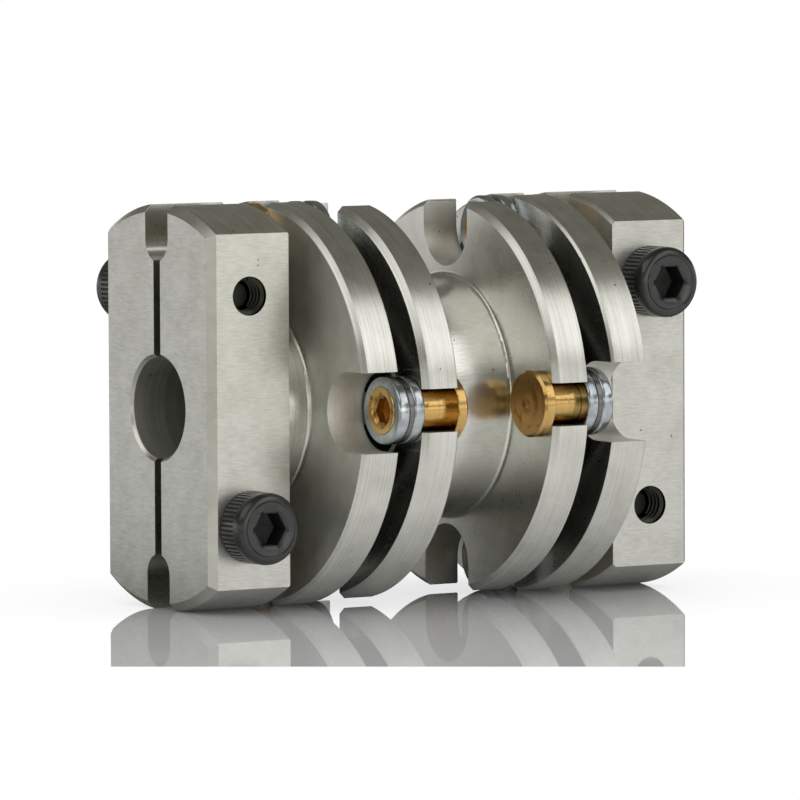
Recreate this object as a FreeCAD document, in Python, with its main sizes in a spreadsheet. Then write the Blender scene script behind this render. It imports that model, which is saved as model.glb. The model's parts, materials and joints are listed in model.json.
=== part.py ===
import FreeCAD, Part
import Sketcher
import math
import os

# Flexible shaft coupling with two disc packs and split clamp hubs.
# The shaft axis runs along X, the flats of the hubs face front (-Y) and back (+Y), and Z is up.
# The origin is the middle of the coupling, on the shaft axis.
# From either end inwards: clamp block, neck, hub flange, disc pack, and the flanged spool in the middle.

V = FreeCAD.Vector
doc = FreeCAD.newDocument("coupling")

# Driving sizes in millimetres
SIZES = {
    "outer_diameter": 32.0,
    "bore_diameter": 8.0,
    "bore_chamfer": 0.25,
    "block_length": 7.2,
    "block_across_flats": 16.0,
    "left_end_chamfer": 0.6,
    "right_end_chamfer": 0.3,
    "left_block_chamfer": 0.1,
    "right_block_chamfer": 0.25,
    "neck_diameter": 15.9,
    "neck_length": 2.0,
    "corner_fillet": 0.35,
    "hub_flange_thickness": 3.2,
    "left_outer_chamfer": 0.38,
    "left_inner_chamfer": 0.1,
    "right_outer_chamfer": 0.1,
    "right_inner_chamfer": 0.2,
    "spool_step": 0.15,
    "spool_flange_thickness": 3.1,
    "spool_left_chamfer": 0.45,
    "spool_right_chamfer": 0.1,
    "waist_to_rivet_head": 0.95,
    "waist_length": 9.1,
    "spool_bore_diameter": 9.5,
    "pin_edge_distance": 2.8,
    "pin_slot_width": 3.4,
    "scallop_width": 6.3,
    "scallop_offset": 0.3,
    "saw_cut_width": 1.0,
    "saw_cut_depth": 8.4,
    "rivet_shank_diameter": 3.2,
    "rivet_head_diameter": 5.3,
    "rivet_head_thickness": 0.95,
    "rivet_head_chamfer": 0.2,
    "rivet_flare": 0.3,
    "rivet_flare_depth": 0.4,
    "rivet_end_height": 0.12,
    "rivet_hollow_diameter": 1.9,
    "rivet_hollow_depth": 1.6,
    "rivet_clearance": 0.05,
    "washer_diameter": 5.4,
    "washer_thickness": 1.0,
    "washer_rounding": 0.22,
    "lamination_thickness": 0.13,
    "lamination_count": 3,
    "lamination_arm_width": 3.8,
    "lamination_ear_diameter": 5.2,
    "screw_edge_distance": 7.0,
    "screw_thread_diameter": 2.95,
    "screw_length": 14.0,
    "screw_head_diameter": 5.65,
    "screw_head_height": 3.0,
    "screw_head_rounding": 0.3,
    "screw_tip_chamfer": 0.35,
    "socket_across_flats": 2.5,
    "socket_depth": 1.5,
    "tapped_hole_clearance": 0.03,
    "plain_hole_clearance": 0.2,
}

sheet = doc.addObject("Spreadsheet::Sheet", "Sizes")
for row, (name, number) in enumerate(SIZES.items(), start=1):
    sheet.set(f"A{row}", name)
    sheet.set(f"B{row}", str(number))
    sheet.setAlias(f"B{row}", name)
doc.recompute()

# Sizes and stations that follow from the driving ones, as expressions.
# A station is a distance from the middle of the coupling along the shaft axis.
OUTER_RADIUS = "Sizes.outer_diameter / 2"
PIN_RADIUS = f"({OUTER_RADIUS} - Sizes.pin_edge_distance)"
SCALLOP_RADIUS = f"({PIN_RADIUS} + Sizes.scallop_offset)"
SPOOL_RADIUS = f"({OUTER_RADIUS} - Sizes.spool_step)"
WAIST_RADIUS = f"({PIN_RADIUS} - Sizes.rivet_head_diameter / 2 - Sizes.waist_to_rivet_head)"
SCREW_OFFSET = f"({OUTER_RADIUS} - Sizes.screw_edge_distance)"
PACK = "Sizes.lamination_count * Sizes.lamination_thickness"
DISC_GAP = f"(2 * Sizes.washer_thickness + {PACK})"
HUB_LENGTH = "(Sizes.block_length + Sizes.neck_length + Sizes.hub_flange_thickness)"
SPOOL_LENGTH = "(Sizes.waist_length + 2 * Sizes.spool_flange_thickness)"
WAIST_END = "Sizes.waist_length / 2"
SPOOL_END = f"{SPOOL_LENGTH} / 2"
PACK_START = f"({SPOOL_END} + Sizes.washer_thickness)"
PACK_END = f"({PACK_START} + {PACK})"
HUB_START = f"({SPOOL_END} + {DISC_GAP})"
HUB_FLANGE_END = f"({HUB_START} + Sizes.hub_flange_thickness)"
COUPLING_END = f"({HUB_START} + {HUB_LENGTH})"
BEYOND = "Sizes.outer_diameter"


def value(expression):
    """The number that an expression of sheet sizes comes to."""
    return float(sheet.evalExpression(str(expression)))


def new_body(label):
    body = doc.addObject("PartDesign::Body", label)
    body.Label = label
    return body


def origin_feature(body, role):
    return next(feature for feature in body.Origin.OriginFeatures if feature.Role == role)


def new_sketch(body, name, plane="XY_Plane", height=None, turn=0):
    """A sketch on an origin plane of the body, lifted to a height and turned about its normal."""
    sketch = body.newObject("Sketcher::SketchObject", name)
    sketch.AttachmentSupport = [(origin_feature(body, plane), "")]
    sketch.MapMode = "FlatFace"
    sketch.AttachmentOffset = FreeCAD.Placement(V(), FreeCAD.Rotation(V(0, 0, 1), turn))
    if height:
        sketch.setExpression("AttachmentOffset.Base.z", height)
    return sketch


def bind(sketch, constraint, expression):
    index = sketch.addConstraint(constraint)
    sketch.setExpression(f"Constraints[{index}]", str(expression))


def outline(sketch, corners):
    """A closed outline of straight lines through corners given as pairs of expressions."""
    points = [V(value(across), value(along), 0) for across, along in corners]
    count = len(points)
    lines = [sketch.addGeometry(Part.LineSegment(points[i], points[(i + 1) % count])) for i in range(count)]
    for i, line in enumerate(lines):
        sketch.addConstraint(Sketcher.Constraint("Coincident", line, 2, lines[(i + 1) % count], 1))
    for line, point, (across, along) in zip(lines, points, corners):
        for kind, axis, number, size in (("DistanceX", -2, point.x, across), ("DistanceY", -1, point.y, along)):
            if str(size) == "0":
                sketch.addConstraint(Sketcher.Constraint("PointOnObject", line, 1, axis))
            else:
                bind(sketch, Sketcher.Constraint(kind, -1, 1, line, 1, number), size)


def turned(body, corners):
    """A solid of revolution about the body's Z axis, from corners given as radius and height."""
    sketch = new_sketch(body, "profile", "XZ_Plane")
    outline(sketch, corners)
    revolution = body.newObject("PartDesign::Revolution", "turned")
    revolution.Profile = sketch
    revolution.ReferenceAxis = (sketch, ["V_Axis"])
    revolution.Angle = 360
    doc.recompute()
    return revolution


def circle(sketch, radius, across="0", along="0"):
    centre = V(value(across), value(along), 0)
    index = sketch.addGeometry(Part.Circle(centre, V(0, 0, 1), value(radius)))
    bind(sketch, Sketcher.Constraint("Radius", index, value(radius)), radius)
    for kind, axis, number, size in (("DistanceX", -2, centre.x, across), ("DistanceY", -1, centre.y, along)):
        if size == "0":
            sketch.addConstraint(Sketcher.Constraint("PointOnObject", index, 3, axis))
        else:
            bind(sketch, Sketcher.Constraint(kind, -1, 1, index, 3, number), size)


def open_slot(sketch, width, centre, outer):
    """A slot open at the rim: a half round of the given width about a centre, and two straight sides."""
    radius = f"{width} / 2"
    r, c, o = value(radius), value(centre), value(outer)
    arc = sketch.addGeometry(Part.ArcOfCircle(Part.Circle(V(0, c, 0), V(0, 0, 1), r), math.pi, 2 * math.pi))
    right = sketch.addGeometry(Part.LineSegment(V(r, c, 0), V(r, o, 0)))
    top = sketch.addGeometry(Part.LineSegment(V(r, o, 0), V(-r, o, 0)))
    left = sketch.addGeometry(Part.LineSegment(V(-r, o, 0), V(-r, c, 0)))
    sketch.addConstraint(Sketcher.Constraint("Tangent", arc, 2, right, 1))
    sketch.addConstraint(Sketcher.Constraint("Coincident", right, 2, top, 1))
    sketch.addConstraint(Sketcher.Constraint("Coincident", top, 2, left, 1))
    sketch.addConstraint(Sketcher.Constraint("Tangent", left, 2, arc, 1))
    sketch.addConstraint(Sketcher.Constraint("Vertical", right))
    sketch.addConstraint(Sketcher.Constraint("Vertical", left))
    sketch.addConstraint(Sketcher.Constraint("Horizontal", top))
    sketch.addConstraint(Sketcher.Constraint("PointOnObject", arc, 3, -2))
    bind(sketch, Sketcher.Constraint("Radius", arc, r), radius)
    bind(sketch, Sketcher.Constraint("DistanceY", -1, 1, arc, 3, c), centre)
    bind(sketch, Sketcher.Constraint("DistanceY", -1, 1, right, 2, o), outer)


def pocket(body, sketch, depth=None, towards_normal=True):
    """Cuts a sketch out of the body, to a depth or right through, and makes sure that it cut."""
    before = body.Tip.Shape.Volume
    cut = body.newObject("PartDesign::Pocket", f"{sketch.Name}_cut")
    cut.Profile = sketch
    cut.Reversed = towards_normal
    if depth:
        cut.setExpression("Length", depth)
    else:
        cut.Type = "ThroughAll"
    doc.recompute()
    if not cut.Shape.Volume < before:
        raise RuntimeError(f"{cut.Label} in {body.Label} cut nothing")
    return cut


def around(body, features, count=2):
    """Repeats features at equal angles about the body's Z axis."""
    pattern = body.newObject("PartDesign::PolarPattern", f"{features[0].Name}_around")
    pattern.Originals = features
    pattern.Axis = (origin_feature(body, "Z_Axis"), [""])
    pattern.Angle = 360
    pattern.Occurrences = count
    body.Tip = pattern
    doc.recompute()
    return pattern


def edges_where(feature, test):
    return [f"Edge{i}" for i, edge in enumerate(feature.Shape.Edges, start=1) if test(edge)]


def is_circle_at(edge, radius, height):
    """Whether an edge is a circle of this radius about the Z axis, at this height."""
    if not isinstance(edge.Curve, Part.Circle):
        return False
    centre = edge.Curve.Center
    offset = max(abs(centre.x), abs(centre.y), abs(centre.z - height), abs(edge.Curve.Radius - radius))
    return offset < 1e-6


def dress(body, kind, edges, property_name, size):
    """Rounds or chamfers named edges of the body's last feature."""
    feature = body.newObject(f"PartDesign::{kind}", kind.lower())
    feature.Base = (body.Tip if body.Tip != feature else feature.BaseFeature, edges)
    feature.setExpression(property_name, size)
    body.Tip = feature
    doc.recompute()
    return feature


def make_clamp_hub(side_name):
    """One turned and milled piece, from the end face at height 0 to the flange's inner face.

    The edges of the two hubs are broken by different amounts.
    """
    body = new_body(f"{side_name}_clamp_hub")
    bore = "Sizes.bore_diameter / 2"
    wide_bore = f"({bore} + Sizes.bore_chamfer)"
    neck = "Sizes.neck_diameter / 2"
    flange = "(Sizes.block_length + Sizes.neck_length)"
    block = f"Sizes.{side_name}_block_chamfer"
    outer = f"Sizes.{side_name}_outer_chamfer"
    inner = f"Sizes.{side_name}_inner_chamfer"
    base = turned(body, [
        (wide_bore, "0"),
        (OUTER_RADIUS, "0"),
        (OUTER_RADIUS, f"Sizes.block_length - {block}"),
        (f"{OUTER_RADIUS} - {block}", "Sizes.block_length"),
        (neck, "Sizes.block_length"),
        (neck, flange),
        (f"{OUTER_RADIUS} - {outer}", flange),
        (OUTER_RADIUS, f"{flange} + {outer}"),
        (OUTER_RADIUS, f"{HUB_LENGTH} - {inner}"),
        (f"{OUTER_RADIUS} - {inner}", HUB_LENGTH),
        (wide_bore, HUB_LENGTH),
        (bore, f"{HUB_LENGTH} - Sizes.bore_chamfer"),
        (bore, "Sizes.bore_chamfer"),
    ])
    corner = edges_where(base, lambda edge: is_circle_at(edge, value(neck), value(flange)))
    dress(body, "Fillet", corner, "Radius", "Sizes.corner_fillet")

    # Flats milled off both sides of the block
    sketch = new_sketch(body, "flat")
    flat = "Sizes.block_across_flats / 2"
    outline(sketch, [(flat, f"-1 * {BEYOND}"), (BEYOND, f"-1 * {BEYOND}"), (BEYOND, BEYOND), (flat, BEYOND)])
    flats = around(body, [pocket(body, sketch, "Sizes.block_length")])

    # Chamfer all round the end face, along the flats too
    inside_bore = value(wide_bore) + 1e-6
    end_edges = edges_where(flats, lambda edge: edge.BoundBox.ZMax < 1e-6 and
                            max(edge.BoundBox.XMax, edge.BoundBox.YMax, -edge.BoundBox.YMin) > inside_bore)
    dress(body, "Chamfer", end_edges, "Size", f"Sizes.{side_name}_end_chamfer")

    # Rivet slots at the top and bottom, run through the block and the flange by one cutter
    sketch = new_sketch(body, "rivet_slot")
    open_slot(sketch, "Sizes.pin_slot_width", PIN_RADIUS, BEYOND)
    around(body, [pocket(body, sketch)])

    # Scallops at the front and back of the flange, round the other rivets' rolled ends
    sketch = new_sketch(body, "scallop", height=flange, turn=90)
    open_slot(sketch, "Sizes.scallop_width", SCALLOP_RADIUS, BEYOND)
    around(body, [pocket(body, sketch)])

    # Saw cut from rim to rim, which splits the block into two jaws
    sketch = new_sketch(body, "saw_cut")
    half_cut = "Sizes.saw_cut_width / 2"
    outline(sketch, [(f"-1 * {half_cut}", f"-1 * {BEYOND}"), (half_cut, f"-1 * {BEYOND}"),
                     (half_cut, BEYOND), (f"-1 * {half_cut}", BEYOND)])
    pocket(body, sketch, "Sizes.saw_cut_depth")

    # Screw holes: plain in the jaw under the head, tapped in the other jaw
    screw_height = "Sizes.block_length / 2"
    holes = []
    for name, clearance, towards_tapped in (
            ("plain_hole", "Sizes.plain_hole_clearance", False),
            ("tapped_hole", "Sizes.tapped_hole_clearance", True)):
        sketch = new_sketch(body, name, "YZ_Plane")
        radius = f"(Sizes.screw_thread_diameter / 2 + {clearance})"
        circle(sketch, radius, f"-1 * {SCREW_OFFSET}", screw_height)
        holes.append(pocket(body, sketch, towards_normal=towards_tapped))
    around(body, holes)
    return body


def make_spool(label):
    """The middle piece, turned from bar: two flanges on a waist, bored through."""
    body = new_body(label)
    bore = "Sizes.spool_bore_diameter / 2"
    wide_bore = f"({bore} + Sizes.bore_chamfer)"
    left = "Sizes.spool_left_chamfer"
    right = "Sizes.spool_right_chamfer"
    first = "Sizes.spool_flange_thickness"
    second = f"({first} + Sizes.waist_length)"
    base = turned(body, [
        (wide_bore, "0"),
        (f"{SPOOL_RADIUS} - {left}", "0"),
        (SPOOL_RADIUS, left),
        (SPOOL_RADIUS, f"{first} - {right}"),
        (f"{SPOOL_RADIUS} - {right}", first),
        (WAIST_RADIUS, first),
        (WAIST_RADIUS, second),
        (f"{SPOOL_RADIUS} - {left}", second),
        (SPOOL_RADIUS, f"{second} + {left}"),
        (SPOOL_RADIUS, f"{SPOOL_LENGTH} - {right}"),
        (f"{SPOOL_RADIUS} - {right}", SPOOL_LENGTH),
        (wide_bore, SPOOL_LENGTH),
        (bore, f"{SPOOL_LENGTH} - Sizes.bore_chamfer"),
        (bore, "Sizes.bore_chamfer"),
    ])
    corners = edges_where(base, lambda edge: is_circle_at(edge, value(WAIST_RADIUS), value(first)) or
                          is_circle_at(edge, value(WAIST_RADIUS), value(second)))
    dress(body, "Fillet", corners, "Radius", "Sizes.corner_fillet")

    sketch = new_sketch(body, "rivet_slot", turn=90)
    open_slot(sketch, "Sizes.pin_slot_width", PIN_RADIUS, BEYOND)
    around(body, [pocket(body, sketch)])

    sketch = new_sketch(body, "scallop")
    open_slot(sketch, "Sizes.scallop_width", SCALLOP_RADIUS, BEYOND)
    around(body, [pocket(body, sketch)])
    return body


def make_rivet(label, flange_thickness):
    """Semi-tubular rivet from its head's face at height 0, rolled over at the far end."""
    body = new_body(label)
    head = "Sizes.rivet_head_diameter / 2"
    shank = "Sizes.rivet_shank_diameter / 2"
    flared = f"({shank} + Sizes.rivet_flare)"
    hollow = "Sizes.rivet_hollow_diameter / 2"
    seat_height = "Sizes.rivet_head_thickness"
    washer_face = f"({seat_height} + {flange_thickness} + {DISC_GAP})"
    end = f"({washer_face} + Sizes.rivet_end_height)"
    turned(body, [
        ("0", "0"),
        (f"{head} - Sizes.rivet_head_chamfer", "0"),
        (head, "Sizes.rivet_head_chamfer"),
        (head, seat_height),
        (shank, seat_height),
        (shank, f"{washer_face} - Sizes.rivet_flare_depth"),
        (flared, washer_face),
        (f"{flared} - Sizes.rivet_end_height", end),
        (f"{hollow} + Sizes.rivet_end_height", end),
        (hollow, washer_face),
        (hollow, f"{end} - Sizes.rivet_hollow_depth"),
        ("0", f"{end} - Sizes.rivet_hollow_depth"),
    ])
    return body


def make_washer(label):
    """Zinc-plated washer: flat on the disc at height 0, countersunk for the rolled end on its outer face."""
    body = new_body(label)
    hole = "(Sizes.rivet_shank_diameter / 2 + Sizes.rivet_clearance)"
    rim = "Sizes.washer_diameter / 2"
    rounding = "Sizes.washer_rounding"
    thickness = "Sizes.washer_thickness"
    turned(body, [
        (hole, "0"),
        (f"{rim} - {rounding}", "0"),
        (rim, rounding),
        (rim, f"{thickness} - {rounding}"),
        (f"{rim} - {rounding}", thickness),
        (f"{hole} + Sizes.rivet_flare", thickness),
        (hole, f"{thickness} - Sizes.rivet_flare_depth"),
    ])
    return body


def pad(body, sketch, length):
    feature = body.newObject("PartDesign::Pad", f"{sketch.Name}_pad")
    feature.Profile = sketch
    feature.setExpression("Length", length)
    doc.recompute()
    return feature


def make_lamination(label):
    """One thin sheet of the disc pack: four straight arms between four ears, each with a rivet hole."""
    body = new_body(label)
    thickness = "Sizes.lamination_thickness"

    sketch = new_sketch(body, "arm", turn=45)
    middle = f"{PIN_RADIUS} * sqrt(0.5)"
    half_width = "Sizes.lamination_arm_width / 2"
    inner = f"({middle} - {half_width})"
    outer = f"({middle} + {half_width})"
    half_length = f"({middle})"
    outline(sketch, [(inner, f"-1 * {half_length}"), (outer, f"-1 * {half_length}"),
                     (outer, half_length), (inner, half_length)])
    arm = pad(body, sketch, thickness)

    sketch = new_sketch(body, "ear")
    circle(sketch, "Sizes.lamination_ear_diameter / 2", PIN_RADIUS, "0")
    ear = pad(body, sketch, thickness)
    around(body, [arm, ear], 4)

    sketch = new_sketch(body, "rivet_hole")
    hole = "(Sizes.rivet_shank_diameter / 2 + Sizes.rivet_clearance)"
    circle(sketch, hole, PIN_RADIUS, "0")
    around(body, [pocket(body, sketch)], 4)
    return body


def make_screw(label):
    """Socket head cap screw from the top of its head at height 0 to its tip."""
    body = new_body(label)
    head = "Sizes.screw_head_diameter / 2"
    shank = "Sizes.screw_thread_diameter / 2"
    seat_height = "Sizes.screw_head_height"
    end = f"({seat_height} + Sizes.screw_length)"
    turned(body, [
        ("0", "0"),
        (f"{head} - Sizes.screw_head_rounding", "0"),
        (head, "Sizes.screw_head_rounding"),
        (head, seat_height),
        (shank, seat_height),
        (shank, f"{end} - Sizes.screw_tip_chamfer"),
        (f"{shank} - Sizes.screw_tip_chamfer", end),
        ("0", end),
    ])

    sketch = new_sketch(body, "socket")
    half_flats = "Sizes.socket_across_flats / 2"
    corner = f"{half_flats} / cos(30 deg)"
    half_side = f"{half_flats} * tan(30 deg)"
    outline(sketch, [(half_flats, f"-1 * {half_side}"), (half_flats, half_side), ("0", corner),
                     (f"-1 * {half_flats}", half_side), (f"-1 * {half_flats}", f"-1 * {half_side}"),
                     ("0", f"-1 * {corner}")])
    pocket(body, sketch, "Sizes.socket_depth")
    return body


# The pieces stand on their own Z axis. One turn lays Z along +X with Y up, another lays it along -X.
TO_RIGHT = FreeCAD.Rotation(V(1, 1, 1), 120)
TO_LEFT = FreeCAD.Rotation(V(0, 0, 1), 180) * TO_RIGHT
TO_BACK = FreeCAD.Rotation(V(1, 0, 0), -90)
TO_FRONT = FreeCAD.Rotation(V(0, 0, 1), 180) * TO_BACK


def seat(body, rotation, along, across="0", up="0"):
    """Places a piece in the coupling, at a distance along, across and above the shaft axis."""
    body.Placement = FreeCAD.Placement(V(), rotation)
    for axis, expression in (("x", along), ("y", across), ("z", up)):
        body.setExpression(f"Placement.Base.{axis}", str(expression))
    return body


def make_stage(side_name, side):
    """One hub, its screws, its disc pack, and the rivets and washers on both sides of the pack."""
    outward, inward = (TO_LEFT, TO_RIGHT) if side < 0 else (TO_RIGHT, TO_LEFT)
    bodies = []

    bodies.append(seat(make_clamp_hub(side_name), inward, f"{side} * {COUPLING_END}"))

    # A head stands on the front flat and one on the back flat, at opposite heights
    screw_station = f"{side} * ({COUPLING_END} - Sizes.block_length / 2)"
    head_top = "(Sizes.block_across_flats / 2 + Sizes.screw_head_height)"
    for place, facing, direction in (("front", TO_BACK, -1), ("back", TO_FRONT, 1)):
        screw = make_screw(f"{side_name}_clamp_screw_{place}")
        height = f"{-side * direction} * {SCREW_OFFSET}"
        bodies.append(seat(screw, facing, screw_station, f"{direction} * {head_top}", height))

    for number in range(int(SIZES["lamination_count"])):
        lamination = make_lamination(f"{side_name}_disc_lamination_{number + 1}")
        station = f"{side} * ({PACK_START} + {number} * Sizes.lamination_thickness)"
        bodies.append(seat(lamination, outward, station))

    pins = (
        ("top", "hub", "0", PIN_RADIUS),
        ("bottom", "hub", "0", f"-1 * {PIN_RADIUS}"),
        ("front", "spool", f"-1 * {PIN_RADIUS}", "0"),
        ("back", "spool", PIN_RADIUS, "0"),
    )
    for place, owner, across, up in pins:
        if owner == "hub":
            rivet = make_rivet(f"{side_name}_{place}_rivet", "Sizes.hub_flange_thickness")
            head_face = f"({HUB_FLANGE_END} + Sizes.rivet_head_thickness)"
            rotation = inward
        else:
            rivet = make_rivet(f"{side_name}_{place}_rivet", "Sizes.spool_flange_thickness")
            head_face = f"({WAIST_END} - Sizes.rivet_head_thickness)"
            rotation = outward
        bodies.append(seat(rivet, rotation, f"{side} * {head_face}", across, up))
        for neighbour, turn, face in (("spool", inward, PACK_START), ("hub", outward, PACK_END)):
            washer = make_washer(f"{side_name}_{place}_washer_{neighbour}_side")
            bodies.append(seat(washer, turn, f"{side} * {face}", across, up))
    return bodies


spool = seat(make_spool("centre_spool"), TO_RIGHT, f"-1 * {SPOOL_END}")
pieces = [spool] + make_stage("left", -1) + make_stage("right", 1)
doc.recompute()

# Nothing is written unless every feature and every piece came out whole
for item in doc.Objects:
    if "Invalid" in item.State or "Error" in item.State:
        raise RuntimeError(f"{item.Label} is {item.State}")
for piece in pieces:
    if piece.Shape.isNull() or not piece.Shape.isValid() or len(piece.Shape.Solids) != 1:
        raise RuntimeError(f"{piece.Label} has no sound solid")

os.makedirs("parts", exist_ok=True)
for piece in pieces:
    piece.Shape.exportStep(f"parts/{piece.Label}.step")
    print(f"{piece.Label}: {piece.Shape.Volume:.2f} mm3")
print(f"{len(pieces)} pieces, {value(COUPLING_END) * 2:.2f} mm long")
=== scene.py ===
# %% [markdown]
# # A double disc shaft coupling
# The real coupling is turned and milled from aluminium, and thin spring steel sheets are riveted between its
# flanges with brass rivets and zinc-plated washers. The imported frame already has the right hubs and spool, so
# they only get their finish here. The small parts that the eye is drawn to, which are the screws, rivets and
# washers, are modelled again with finer detail. Then come the floor, the light and the camera.

# %% Load the frame
import json
import math
from functools import partial

import bmesh
import bpy
from mathutils import Matrix, Vector

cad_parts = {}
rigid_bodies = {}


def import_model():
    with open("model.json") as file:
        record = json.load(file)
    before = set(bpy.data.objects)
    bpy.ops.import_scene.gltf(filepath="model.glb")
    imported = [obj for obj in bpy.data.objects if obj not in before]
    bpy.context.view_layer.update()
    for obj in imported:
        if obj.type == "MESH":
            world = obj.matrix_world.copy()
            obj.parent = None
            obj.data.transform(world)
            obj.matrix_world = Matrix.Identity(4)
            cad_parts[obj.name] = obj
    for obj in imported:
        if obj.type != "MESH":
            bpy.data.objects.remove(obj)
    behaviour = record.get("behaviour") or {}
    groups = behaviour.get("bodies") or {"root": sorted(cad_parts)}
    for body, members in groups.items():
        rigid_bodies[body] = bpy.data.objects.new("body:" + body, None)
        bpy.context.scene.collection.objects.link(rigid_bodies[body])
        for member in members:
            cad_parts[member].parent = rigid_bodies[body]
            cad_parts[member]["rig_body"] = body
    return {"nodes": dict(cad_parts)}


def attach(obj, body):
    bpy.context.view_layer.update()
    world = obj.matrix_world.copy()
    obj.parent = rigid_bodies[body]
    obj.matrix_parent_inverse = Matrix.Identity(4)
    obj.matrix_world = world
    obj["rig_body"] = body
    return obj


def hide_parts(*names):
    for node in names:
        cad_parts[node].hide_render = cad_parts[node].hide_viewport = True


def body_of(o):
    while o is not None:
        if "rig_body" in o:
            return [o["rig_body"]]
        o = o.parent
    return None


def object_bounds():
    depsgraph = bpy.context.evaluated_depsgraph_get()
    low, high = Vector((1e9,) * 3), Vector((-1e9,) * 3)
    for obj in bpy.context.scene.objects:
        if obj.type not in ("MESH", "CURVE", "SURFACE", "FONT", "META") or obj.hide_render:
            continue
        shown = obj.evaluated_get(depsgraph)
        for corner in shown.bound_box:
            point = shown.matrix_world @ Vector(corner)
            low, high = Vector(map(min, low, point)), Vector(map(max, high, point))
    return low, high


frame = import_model()
cad_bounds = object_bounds()
nodes = frame["nodes"]
print(len(nodes), "pieces in the frame, box in mm", [[round(1000 * c, 2) for c in corner] for corner in cad_bounds])

# %% [markdown]
# ## Sizes and helpers
# Blender works in metres, but a workshop drawing of this part is in millimetres. So sizes are written in
# millimetres, and one helper turns them into metres. Colours are sRGB hex values, as on a colour chart, and
# one helper makes them linear, because the shader adds light and light is linear. A third helper adds any
# shader node and gives back its output, so that one node's output can be the next one's input.

# %% Helpers


def mm(length):
    """Millimetres to metres."""
    return length / 1000


def linear(hex_colour):
    """An sRGB hex colour as linear red, green, blue and alpha."""
    parts = [int(hex_colour[i:i + 2], 16) / 255 for i in (1, 3, 5)]
    return [c / 12.92 if c <= 0.04045 else ((c + 0.055) / 1.055) ** 2.4 for c in parts] + [1.0]


def add_node(tree, kind, inputs=(), out=0, **settings):
    """Adds a node with its settings. Its inputs, by name or in order, are numbers or other nodes' outputs."""
    node = tree.nodes.new("ShaderNode" + kind)
    for name, setting in settings.items():
        setattr(node, name, setting)
    for place, source in inputs.items() if isinstance(inputs, dict) else enumerate(inputs):
        if isinstance(source, bpy.types.NodeSocket):
            tree.links.new(source, node.inputs[place])
        else:
            node.inputs[place].default_value = source
    return node.outputs[out] if node.outputs else None


def new_material(name):
    """An empty material, its own node adder, its surface point in millimetres, and the point's X, Y and Z."""
    material = bpy.data.materials.new(name)
    material.use_nodes = True
    material.node_tree.nodes.clear()
    add = partial(add_node, material.node_tree)
    point = add("Mapping", {"Vector": add("TexCoord", out="Object"), "Scale": (1000, 1000, 1000)})
    return material, add, point, [add("SeparateXYZ", [point], axis) for axis in "XYZ"]


print("helpers ready")

# %% [markdown]
# ## Aluminium
# The hubs and the spool are bare aluminium. Turning leaves fine rings that follow the surface round the
# shaft axis, milling leaves short dashes on the flats, and the drilled part of the bore is rougher. One
# material does all of these, because they're one piece of metal. It tells the surfaces apart by their place:
# the flats lie 8 mm from the axis, the end faces 22.4 mm from the middle, and so on.

# %% Where each surface lies
# Along the shaft axis from the middle, in millimetres. The edges at the ends and the bore's reamed mouth are
# measured inwards from the end, and the flanges as a middle and a half length
END, BLOCK_WALL, BLOCK_ONLY, NECK_FACE, WAIST_FACE = 22.44, 15.24, 15.0, 13.24, 4.55
END_EDGES, BORE_MOUTH = 0.75, 3.0
FLANGES_MIDDLE, FLANGES_HALF = 8.9, 4.3
# Out from the shaft axis: the flats, and limits just inside the rims and just outside the waist and the bore
FLAT, RIM, WAIST, BORE = 8.0, 15.7, 9.7, 4.05
# The rivets' and screws' places, the scallops' radius and how far they lie outside a rivet, and the tapped holes
PIN_RADIUS, SCREW_X, SCREW_Z = 13.2, 18.84, 9.0
SCALLOP, SCALLOP_SHIFT, TAPPED = 3.15, 0.3, 1.53
# How near a point has to be to count as on a surface
NEAR = 0.02


def fold_to_pin(add, y, z):
    """How far a point is outward and aside from the axis of the nearest of the four rivets, in millimetres."""
    wide, high = add("Math", [y], operation="ABSOLUTE"), add("Math", [z], operation="ABSOLUTE")
    far = add("Math", [wide, high], operation="MAXIMUM")
    return add("Math", [far, PIN_RADIUS], operation="SUBTRACT"), add("Math", [wide, high], operation="MINIMUM")


def distance_from_screw(add, x, z):
    """How far a point is from the axis of the nearest clamp screw, in millimetres."""
    beside = add("Math", [add("Math", [x], operation="ABSOLUTE"), SCREW_X], operation="SUBTRACT")
    above = add("Math", [add("Math", [z], operation="ABSOLUTE"), SCREW_Z], operation="SUBTRACT")
    return add("VectorMath", [add("CombineXYZ", [beside, above])], "Value", operation="LENGTH")


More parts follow.
